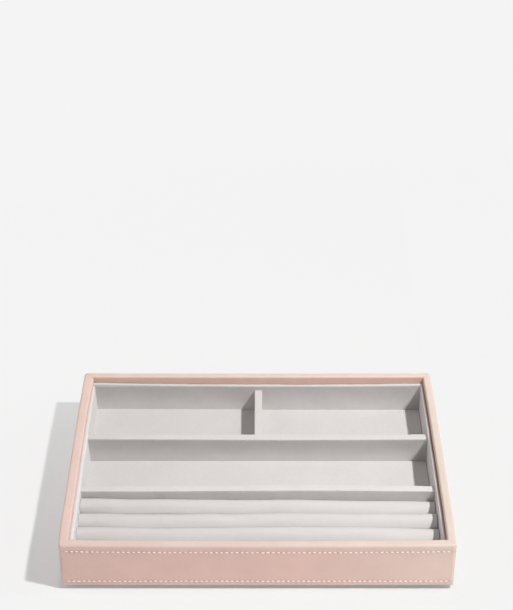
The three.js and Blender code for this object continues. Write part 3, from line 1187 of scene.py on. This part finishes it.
@dataclass(frozen=True)
class Liner(SleevedCard):
    """Velvet liners of the four inner walls; their tops are the ledge below the rim."""

    outer: float = 5.9
    inner: float = 8.3
    card: float = 7.6
    top: float = 30.8
    turn_over: float = 6.0
    film: float = 0.1
    fit: float = 0.1
    clearance: float = 0.04
    along_step: float = 1.8
    seed: int = 101
    lean: tuple[Row, ...] = ((0.1, 0.0, 0.0), (-0.65, -0.5, -0.3), (0.1, 0.0, 0.0), (0.95, 0.4, 0.15))
    lean_heights: Row = (0.0, 0.7, 1.0)
    rise: tuple[Row, ...] = ((0.0,) * 5, (1.2,) * 5, (0.8, 0.0, 0.0, 0.5, 1.5), (0.0,) * 5)
    finish: tuple[Finishes, ...] = (
        Finishes.LINER_VELVET,
        Finishes.VELVET,
        Finishes.LINER_VELVET,
        Finishes.LEFT_VELVET,
    )

    def liner(self, side: Side) -> bpy.types.Object:
        """One liner.

        Formula: the sleeve is carried along the wall, between the walls or between the long liners. Its clear
        face is moved inwards by the lean, which goes through its values at the foot, at seven tenths of the
        height and at the top, and stays in front of the card. The top rises by the heights at five even
        places from left to right, as seen from outside. The side against the wall is drawn in with it at the
        ends, and the clear face stays straight.

        Args:
            side: Which wall.

        Returns:
            The piece.
        """
        half = side.length / 2 - (self.outer - self.film if side.long else self.inner) - self.fit
        ring, push = self.ring(self.outer, self.inner, self.top - self.turn_over, FLOOR, self.top)
        along = drawn_out(half, self.along_step, self.end_run, self.end_step)[:, None]
        across, up = self.swollen(ring, push, along, self.seed + 5 * side.value)
        lean = np.interp((up - FLOOR) / (self.top - FLOOR), self.lean_heights, self.lean[side.value])
        clear = np.clip((ring[:, 0] - self.outer) / (self.inner - self.outer), 0.0, 1.0)
        behind = np.where(push[:, 0] > 0.9, self.card + self.clearance, self.outer)
        across = np.maximum(across + clear * lean, behind)
        rise = np.interp(along / half, np.linspace(-1.0, 1.0, 5), self.rise[side.value])
        up = up + rise * np.clip((up - self.top) / self.turn_over + 1.0, 0.0, 1.0)
        straight = side.turned(along, across, up)
        drawn = HAND_WORK.moved(straight)
        return tube(f"{side.label}_liner", drawn + (straight - drawn) * clear[:, None])

    def build(self) -> None:
        """Make and dress the four liners."""
        for side in Side:
            self.finish[side.value].dress(self.liner(side), f"{side.label}_liner_velvet")


@dataclass(frozen=True)
class Divider(SleevedCard):
    """A velvet-covered divider between two places, along X or along Y."""

    name: str = "rear_divider"
    middle: Span = (0.4, 26.9)
    length: float = 236.2
    along_x: bool = True
    thickness: float = 5.4
    edge: float = 0.6
    top: float = 28.9
    belly: float = 0.0
    belly_at: float = 0.0
    belly_width: float = 75.0
    belly_low: float = 6.0
    belly_high: float = 1.0
    rise: Row = (0.0,) * 6
    finish: Finishes = Finishes.VELVET
    seed: int = 201

    def build(self) -> None:
        """Make and dress the divider.

        Formula: a sleeve carried straight along the card. Its front face bellies out towards the top by a
        bell curve over the length. Its top rises by the heights at six even places.
        """
        half = self.thickness / 2
        ring, push = self.ring(-half, half, FLOOR, FLOOR, self.top)
        along = drawn_out(self.length / 2, self.along_step, self.end_run, self.end_step)[:, None]
        across, up = self.swollen(ring, push, along, self.seed)
        towards_top = smooth(FLOOR + self.belly_low, self.top - self.belly_high, ring[:, 1])
        front = np.clip(-push[:, 0], 0.0, 1.0) * towards_top
        across = across - self.belly * front * bell(along - self.belly_at, self.belly_width)
        rise = np.interp(along / self.length, np.linspace(-0.5, 0.5, 6), self.rise)
        up = up + rise * np.clip((up - FLOOR) / (self.top - FLOOR), 0.0, 1.0)
        if self.along_x:
            place = np.stack(np.broadcast_arrays(along, across, up), axis=-1)
        else:
            place = np.stack(np.broadcast_arrays(-across, along, up), axis=-1)
        piece = tube(f"{self.name}_sleeve", place + np.array([*self.middle, 0.0]))
        self.finish.dress(piece, f"{self.name}_velvet")


@dataclass(frozen=True)
class WrappedSheet:
    """A flat sheet with a skin wrapped over one face and down its edge: a floor pad or the plinth."""

    name: str = "bracelet_pad"
    cloth: str = "velvet"
    finish: Finishes = Finishes.VELVET
    low: Span = (-117.8, -23.08)
    high: Span = (118.35, 24.18)
    face: float = PAD_TOP
    foot: float = FLOOR
    corner: float = 0.7
    edge: float = 0.2
    least_edge: float = 0.05
    skin: float = 0.6
    slack: float = 0.10
    slack_edge: Span = (1.5, 7.0)
    waves: Span = (38.0, 11.0)
    fine_share: float = 0.4
    tilt: Span = (0.0, 0.0)
    cell: float = 2.4
    seed: int = 301

    def draped(self, inset: float, slack: float) -> Array:
        """The skin's surface at a depth below its face.

        Formula: a flat grid is split into the nearest point of the straight-edged core and an offset of
        length q from it. The offset keeps its direction and gets the reach and drop of the edge's line at q:
        flat to the rounding, a quarter circle, and straight down to the foot. The face has a seeded
        unevenness that fades out at the edge, and a tilt from its left side's height to its right side's.

        Args:
            inset: Depth below the face.
            slack: Height of the unevenness.

        Returns:
            Points as (rows, columns, 3).
        """
        sign = 1.0 if self.face > self.foot else -1.0
        tall = abs(self.face - self.foot)
        wide, high, radius = self.corner - inset, tall - inset, max(self.edge - inset, self.least_edge)
        corners = [(0.0, high, 0.0), (wide, high, radius), (wide, 0.0, 0.0)]
        line = folded(corners, [wide - radius, (high - radius) / 5], 4)
        run = np.linspace(0.0, 1.0, len(line))
        half = (np.array(self.high) - np.array(self.low)) / 2
        core = half - self.corner
        cuts = [np.linspace(-c, c, max(3, round(2.0 * c / self.cell))) for c in core]
        beyond = run[1:]
        across, along = [np.concatenate([c[0] - beyond[::-1], c, c[-1] + beyond]) for c in cuts]
        x, y = np.meshgrid(across, along, indexing="ij")
        near_x, near_y = np.clip(x, -core[0], core[0]), np.clip(y, -core[1], core[1])
        off_x, off_y = x - near_x, y - near_y
        size = np.hypot(off_x, off_y)
        reach = np.maximum(np.abs(off_x), np.abs(off_y))
        out = np.interp(reach, run, line[:, 0]) / np.maximum(size, TINY)
        rise = np.interp(reach, run, line[:, 1])
        edge = np.minimum(half[0] - np.abs(x), half[1] - np.abs(y))
        slow, fine = [ripple(x, y, size, self.seed + n) for n, size in enumerate(self.waves)]
        uneven = slow + self.fine_share * fine
        tilt = self.tilt[0] + (self.tilt[1] - self.tilt[0]) * (x / half[0] + 1.0) / 2
        rise = rise * (1.0 + tilt / tall) + slack * uneven * smooth(*self.slack_edge, edge)
        centre = (np.array(self.high) + np.array(self.low)) / 2
        up = self.foot + sign * rise
        return np.stack([centre[0] + near_x + off_x * out, centre[1] + near_y + off_y * out, up], axis=-1)

    def build(self) -> None:
        """Make and dress the wrapped skin."""
        piece = shell(f"{self.name}_cover", self.draped(0.0, self.slack), self.draped(self.skin, 0.0))
        self.finish.dress(piece, f"{self.name}_{self.cloth}")


@dataclass(frozen=True)
class Filling:
    """Pressure that fills cloth covers, simulated at a larger size, which cloth springs are made for."""

    scale: float = 20.0
    steps: int = 20
    quality: int = 6
    mass: float = 0.3
    stiffness: float = 30.0
    bending: float = 4.0
    pressure: float = 6.0

    def blown(self, points: Array, faces: Sequence[Array], held: Array) -> Array:
        """Where the points of closed covers are after the simulation.

        Args:
            points: The covers' points.
            faces: Arrays of their faces.
            held: Which points can't move.

        Returns:
            The moved points.
        """
        cover = mesh_piece("roll_covers_in_work", points * self.scale, faces)
        group = cover.vertex_groups.new(name="held")
        group.add(np.flatnonzero(held).tolist(), 1.0, "REPLACE")
        cloth = cover.modifiers.new("fill", "CLOTH")
        cloth.point_cache.frame_end = self.steps
        settings = cloth.settings
        settings.vertex_group_mass = group.name
        settings.quality = self.quality
        settings.mass = self.mass
        settings.tension_stiffness = self.stiffness
        settings.compression_stiffness = self.stiffness
        settings.bending_stiffness = self.bending
        settings.use_pressure = True
        settings.uniform_pressure_force = self.pressure
        settings.effector_weights.gravity = 0.0
        for step in range(1, self.steps + 1):
            bpy.context.scene.frame_set(step)
        seen = cover.evaluated_get(bpy.context.evaluated_depsgraph_get()).to_mesh()
        done = np.empty(len(seen.vertices) * 3, np.float32)
        seen.vertices.foreach_get("co", done)
        bpy.context.scene.frame_set(1)
        bpy.data.objects.remove(cover, do_unlink=True)
        return done.reshape(-1, 3) / (MM * self.scale)


@dataclass(frozen=True)
class RingBed:
    """The bed of padded ring rolls across the front."""

    count: int = 4
    back: float = -28.5
    pitch: float = 13.3
    half: float = 6.5
    length: float = 236.0
    shift: float = 0.25
    bottom: float = 8.6
    shoulder: float = 17.6
    crown: float = 6.0
    end: float = 0.7
    swell: float = 0.45
    cap: float = 0.75
    fill: float = 0.85
    filling: Filling = Filling()
    apart: float = 40.0
    held: float = 0.5
    gap: float = 0.03
    left_limit: float = -117.0
    left_lean: float = 0.055
    along_step: float = 1.9
    end_step: float = 0.4
    rough: float = 0.08
    shaken: float = 0.02
    waves: Span = (42.0, 8.0)
    uneven: Span = (0.14, 0.05)
    shaken_seed: int = 401
    rough_seed: int = 410
    uneven_seeds: tuple[int, int] = (430, 440)
    flank_points: int = 5
    dome_points: int = 19
    floor_points: int = 6
    rise: tuple[Row, ...] = (
        (1.95, 1.05, 0.35, 0.65, -0.75, -1.1),
        (0.55, -0.3, -0.1, 0.9, 0.05, 0.15),
        (1.05, -0.2, 0.2, 0.9, 0.7, -1.1),
        (0.2, 0.1, 0.0, 0.1, 0.0, -0.2),
    )

    def middle(self, number: int) -> float:
        """Y of a roll's middle; 0 is the rearmost."""
        return self.back - self.pitch * (number + 0.5)

    def cage(self, inset: float) -> Array:
        """One roll about its own middle, as rings along X.

        Formula: a flat bottom, straight flanks up to the shoulder and half an ellipse over it. Towards an
        end, at a distance q inside the rounding r, the section shrinks by r - sqrt(r^2 - (r - q)^2).

        Args:
            inset: How much smaller the roll is than its full size.

        Returns:
            Points as (rings, points of a ring, 3).
        """
        flank = np.linspace(0.0, 1.0, self.flank_points + 1)
        dome = np.linspace(0.0, math.pi, self.dome_points)
        floor = np.linspace(1.0, -1.0, self.floor_points + 1)[:-1]
        ones, none = np.ones(self.flank_points), np.zeros(self.flank_points)
        side = np.concatenate([-ones, -np.cos(dome), ones, floor])
        level = np.concatenate([flank[:-1], np.ones_like(dome), flank[-2::-1], np.zeros_like(floor)])
        arch = np.concatenate([none, np.sin(dome), none, np.zeros_like(floor)])
        along = drawn_out(self.length / 2, self.along_step, self.end, self.end_step)[:, None]
        gone = np.clip(self.end - (self.length / 2 - np.abs(along)), 0.0, self.end)
        shrink = self.end - np.sqrt(self.end**2 - gone**2) + inset
        across = side * (self.half - shrink)
        up = self.bottom + level * (self.shoulder - self.bottom) + arch * (self.crown - shrink)
        return np.stack(np.broadcast_arrays(along, across, up), axis=-1)

    def filled(self) -> Array:
        """All rolls about their own middles, filled by a cloth simulation of their covers.

        The covers start smaller by the swell, held along the bottom and at the ends, and pressure fills them;
        no point moves further than the cap. Each ring is then stretched to its full height.

        Returns:
            Points as (rolls, rings, points of a ring, 3).
        """
        start, full = self.cage(self.swell), self.cage(0.0)
        rng = np.random.default_rng(self.shaken_seed)
        rolls = np.repeat(start[None], self.count, axis=0)
        seeds = range(self.rough_seed, self.rough_seed + self.count)
        rough = [ripple(start[..., 0], start[..., 1] * 3.0, 24.0, seed) for seed in seeds]
        rolls[..., 2] += self.rough * np.stack(rough) * smooth(0.0, 3.0, rolls[..., 2] - self.bottom)
        rolls[..., 1] += self.shaken * rng.normal(size=rolls.shape[:3])
        rings, around = start.shape[:2]
        ring = np.arange(around)
        lids = np.stack([ring[::-1], (rings - 1) * around + ring])
        first = (np.arange(self.count) * rings * around)[:, None, None]
        quads = (grid_quads(rings, around, wrap=True)[None] + first).reshape(-1, 4)
        caps = (lids[None] + first).reshape(-1, around)
        held = start[..., 2] < self.bottom + self.held
        held[[0, 1, -2, -1]] = True
        apart = rolls + np.array([0.0, self.apart, 0.0]) * np.arange(self.count)[:, None, None, None]
        done = self.filling.blown(apart.reshape(-1, 3), [quads, caps], np.tile(held.ravel(), self.count))
        move = done.reshape(apart.shape) - apart
        size = np.linalg.norm(move, axis=-1, keepdims=True)
        LOG.info("roll covers moved by up to %.2f mm", float(size.max()))
        rolls = rolls + move * np.minimum(1.0, self.cap / np.maximum(size, TINY))
        stretch = (full[..., 2].max(axis=1) - self.bottom) / (rolls[..., 2].max(axis=2) - self.bottom)
        rolls[..., 2] = self.bottom + (rolls[..., 2] - self.bottom) * stretch[..., None]
        return rolls

    def build(self) -> None:
        """Make and dress the rolls.

        Formula: the filled covers keep clear of their neighbours, rise by the heights given at six even
        places from left to right, and get an unevenness along the crown. The left ends keep inside a limit
        that leans outwards by 0.055 mm a millimetre of height, in front of the liner there.
        """
        limit = self.pitch / 2 - self.gap
        for number, points in enumerate(self.filled()):
            along, across, up = np.moveaxis(points, -1, 0)
            across = np.clip(across, -limit, limit)
            share = np.clip((up - self.bottom) / (self.shoulder + self.crown - self.bottom), 0.0, 1.0)
            rise = np.interp(along / self.length, np.linspace(-0.5, 0.5, 6), self.rise[number])
            for height, size, seed in zip(self.uneven, self.waves, self.uneven_seeds):
                rise = rise + height * ripple(along, across, size, seed + number)
            up = up + share * rise
            along = np.maximum(along + self.shift, self.left_limit - self.left_lean * (up - self.bottom))
            place = np.stack([along, across + self.middle(number), up], axis=-1)
            piece = tube(f"ring_roll_{number + 1}", place)
            rounder = piece.modifiers.new("rounder", "SUBSURF")
            rounder.levels = rounder.render_levels = 1
            nodes = [f"ring_roll_{number + 1}_{part}" for part in ("velvet", "foam")]
            Finishes.ROLL_VELVET.dress(piece, *nodes)


@dataclass(frozen=True)
class InnerBoards:
    """The boards and cards inside the case, which are shown as their CAD nodes."""

    boards: tuple[str, ...] = ("wall_board", "base_board", "plinth_board")

    def build(self) -> None:
        """Dress each board and card that no new piece stands for."""
        for name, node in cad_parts.items():
            if name.endswith("_card"):
                finish = Finishes.CARD.value
            elif name.endswith(self.boards):
                finish = Finishes.BOARD.value
            else:
                continue
            finish.dress(node)
            LOG.info("%s: %s", name, finish.name)


@dataclass(frozen=True)
class Studio:
    """Floor, light and camera."""

    key: Row = (578.0, -245.0, 1050.0)
    key_size: float = 70.0
    key_level: float = 0.80
    sky: float = 0.22
    sides: float = 0.97
    slope: float = -0.14
    least_sky: float = 0.03
    white: float = 0.905
    lifted: float = 0.42
    lifted_limits: Span = (0.32, 0.55)
    lifted_slope: float = 0.0012
    lifted_middle: float = -20.0
    bright: float = 0.6
    shaded: float = 0.20
    bounce: float = 0.90
    floor: float = 6000.0
    far: Span = (300.0, 620.0)
    bright_right: Span = (126.5, 132.5)
    bright_front: Span = (91.5, 97.5)
    foot: Row = (126.0, 90.0, 90.9)
    foot_edge: Span = (-1.0, 4.0)
    eye: Row = (-0.62, -770.50, 691.78)
    pitch: float = 34.6757
    lens: float = 87.632
    sensor: float = 36.0
    far_clip: float = 20000.0

    def seen(self, graph: Graph) -> Value:
        """1 for what the camera sees, straight, in a gloss or through glass, and 0 for other light."""
        path = graph.node("ShaderNodeLightPath").outputs
        names = ("Camera", "Glossy", "Transmission")
        camera, glossy, through = [Value(graph, path[f"Is {name} Ray"]) for name in names]
        return camera.most(glossy).most(through)

    def key_power(self) -> float:
        """Watts that give the key's level at the tray: level pi^2 d^2 over the cosine to the floor."""
        away = np.linalg.norm(self.key) * MM
        return self.key_level * math.pi**2 * away**3 / (self.key[2] * MM)

    def lay_floor(self) -> None:
        """A plain pale floor.

        The camera sees a blend of an even white and of the lit floor, whose colour evens out the lamp's
        fall-off: white over the sum of the sky and the key, which falls with the third power of the distance.
        Far from the tray only the even white is left, in front of it and to the right mostly that, less of it
        in the shadow, most of all at the front, and least under the tray. Other light meets a plain pale
        floor.
        """
        half = self.floor / 2
        corners = np.array([[-half, -half, 0.0], [half, -half, 0.0], [half, half, 0.0], [-half, half, 0.0]])
        mesh = bpy.data.meshes.new("floor")
        mesh.from_pydata((corners * MM).tolist(), [], [[0, 1, 2, 3]])
        sheet = bpy.data.objects.new("floor", mesh)
        bpy.context.scene.collection.objects.link(sheet)
        material = bpy.data.materials.new("pale_floor")
        graph = Graph(material)
        x, y, _ = graph.millimetres()
        right, back, up = self.key
        away = ((x - right) ** 2.0 + (y - back) ** 2.0 + up**2) ** 0.5
        level = self.key_level * (float(np.linalg.norm(self.key)) / away) ** 3.0 + self.sky + self.sides / 4
        seen = self.seen(graph)
        colour = graph.mix(seen, (self.bounce,) * 3, graph.shaded((1.0, 1.0, 1.0), self.white / level))
        plain = {"Base Color": colour, "Roughness": 1.0, "Specular IOR Level": 0.0}
        lit = graph.node("ShaderNodeBsdfPrincipled", inputs=plain)
        even = graph.node("ShaderNodeEmission", inputs={"Color": (self.white,) * 3 + (1.0,), "Strength": 1.0})
        far = graph.between((x**2.0 + y**2.0) ** 0.5, *self.far)
        bright = graph.between(x, *self.bright_right).most(graph.between(-1.0 * y, *self.bright_front))
        side, rear, front = self.foot
        clear = graph.between((abs(x) - side).most(y - rear).most(-1.0 * y - front), *self.foot_edge)
        least, most = self.lifted_limits
        lifted = ((y - self.lifted_middle) * self.lifted_slope + self.lifted).most(least).least(most)
        share = self.shaded + (lifted - self.shaded) * clear + (1.0 - lifted) * far.most(bright * self.bright)
        both = {0: seen * share, 1: lit.outputs[0], 2: even.outputs[0]}
        blend = graph.node("ShaderNodeMixShader", inputs=both)
        graph.node("ShaderNodeOutputMaterial", inputs={"Surface": blend.outputs[0]})
        mesh.materials.append(material)

    def light(self) -> None:
        """One soft key from the right and front, and a sky that the camera sees white.

        The sky's level is its middle level, plus the slope times the direction's share to the right, plus the
        sides' level times the square of that share.
        """
        data = bpy.data.lights.new("key", "AREA")
        data.shape = "DISK"
        data.size = self.key_size * MM
        data.energy = self.key_power()
        lamp = bpy.data.objects.new("key", data)
        lamp.location = [v * MM for v in self.key]
        lamp.rotation_euler = lamp.location.to_track_quat("Z", "Y").to_euler()
        bpy.context.scene.collection.objects.link(lamp)
        world = bpy.data.worlds.new("studio")
        bpy.context.scene.world = world
        graph = Graph(world)
        right, _, _ = graph.axes(graph.node("ShaderNodeTexCoord").outputs["Generated"])
        level = self.sky + right * self.slope + right**2.0 * self.sides
        even = graph.shaded((1.0, 1.0, 1.0), level.most(self.least_sky))
        colour = graph.mix(self.seen(graph), even, (self.white,) * 3)
        sky = graph.node("ShaderNodeBackground", inputs={"Color": colour, "Strength": 1.0})
        graph.node("ShaderNodeOutputWorld", inputs={"Surface": sky.outputs[0]})

    def camera(self) -> None:
        """The photograph's camera, for a picture of 513 by 610."""
        data = bpy.data.cameras.new("camera")
        data.sensor_width = self.sensor
        data.lens = self.lens
        data.clip_end = self.far_clip * MM
        camera = bpy.data.objects.new("camera", data)
        camera.location = [v * MM for v in self.eye]
        camera.rotation_euler = (math.radians(90.0 - self.pitch), 0.0, 0.0)
        bpy.context.scene.collection.objects.link(camera)
        bpy.context.scene.camera = camera

    def build(self) -> None:
        """Set up the studio."""
        bpy.context.scene.view_settings.view_transform = "Standard"
        self.camera()
        self.light()
        self.lay_floor()


def main() -> None:
    """Build the tray's pieces in order, dress them and set up the studio."""
    logging.basicConfig(level=logging.INFO, format="%(name)s: %(message)s")
    dividers = (
        Divider(
            name="rear_divider",
            belly=0.4,
            belly_at=18.0,
            rise=(0.2, 0.0, -0.1, -0.25, -0.2, 0.0),
            finish=Finishes.DIVIDER_VELVET,
            seed=201,
        ),
        Divider(
            name="front_divider",
            middle=(0.4, -25.8),
            top=28.2,
            rise=(-0.4, -0.4, 0.0, 0.35, 0.2, -0.5),
            finish=Finishes.FRONT_VELVET,
            seed=211,
        ),
        Divider(
            name="short_divider",
            middle=(0.7, 55.65),
            length=51.7,
            along_x=False,
            top=27.3,
            rise=(-0.55, -0.5, -0.45, -0.4, -0.35, -0.3),
            seed=221,
        ),
    )
    pads = (
        WrappedSheet("rear_left_pad", low=(-117.8, 29.62), high=(-2.02, 81.68), tilt=(0.5, 0.0), seed=311),
        WrappedSheet("rear_right_pad", low=(3.42, 29.62), high=(118.35, 81.68), tilt=(-0.25, -0.4), seed=321),
        WrappedSheet("bracelet_pad", tilt=(-0.2, -0.3), seed=331),
    )
    plinth = WrappedSheet(
        name="plinth",
        cloth="felt",
        finish=Finishes.FELT,
        low=(-119.6, -83.4),
        high=(119.6, 83.4),
        face=0.0,
        foot=3.5,
        corner=3.0,
        edge=0.9,
        slack=0.0,
        seed=341,
    )
    for part in (Studio(), CaseCover(), Liner(), *dividers, *pads, RingBed(), plinth, InnerBoards()):
        part.build()


if __name__ == "__main__":
    main()
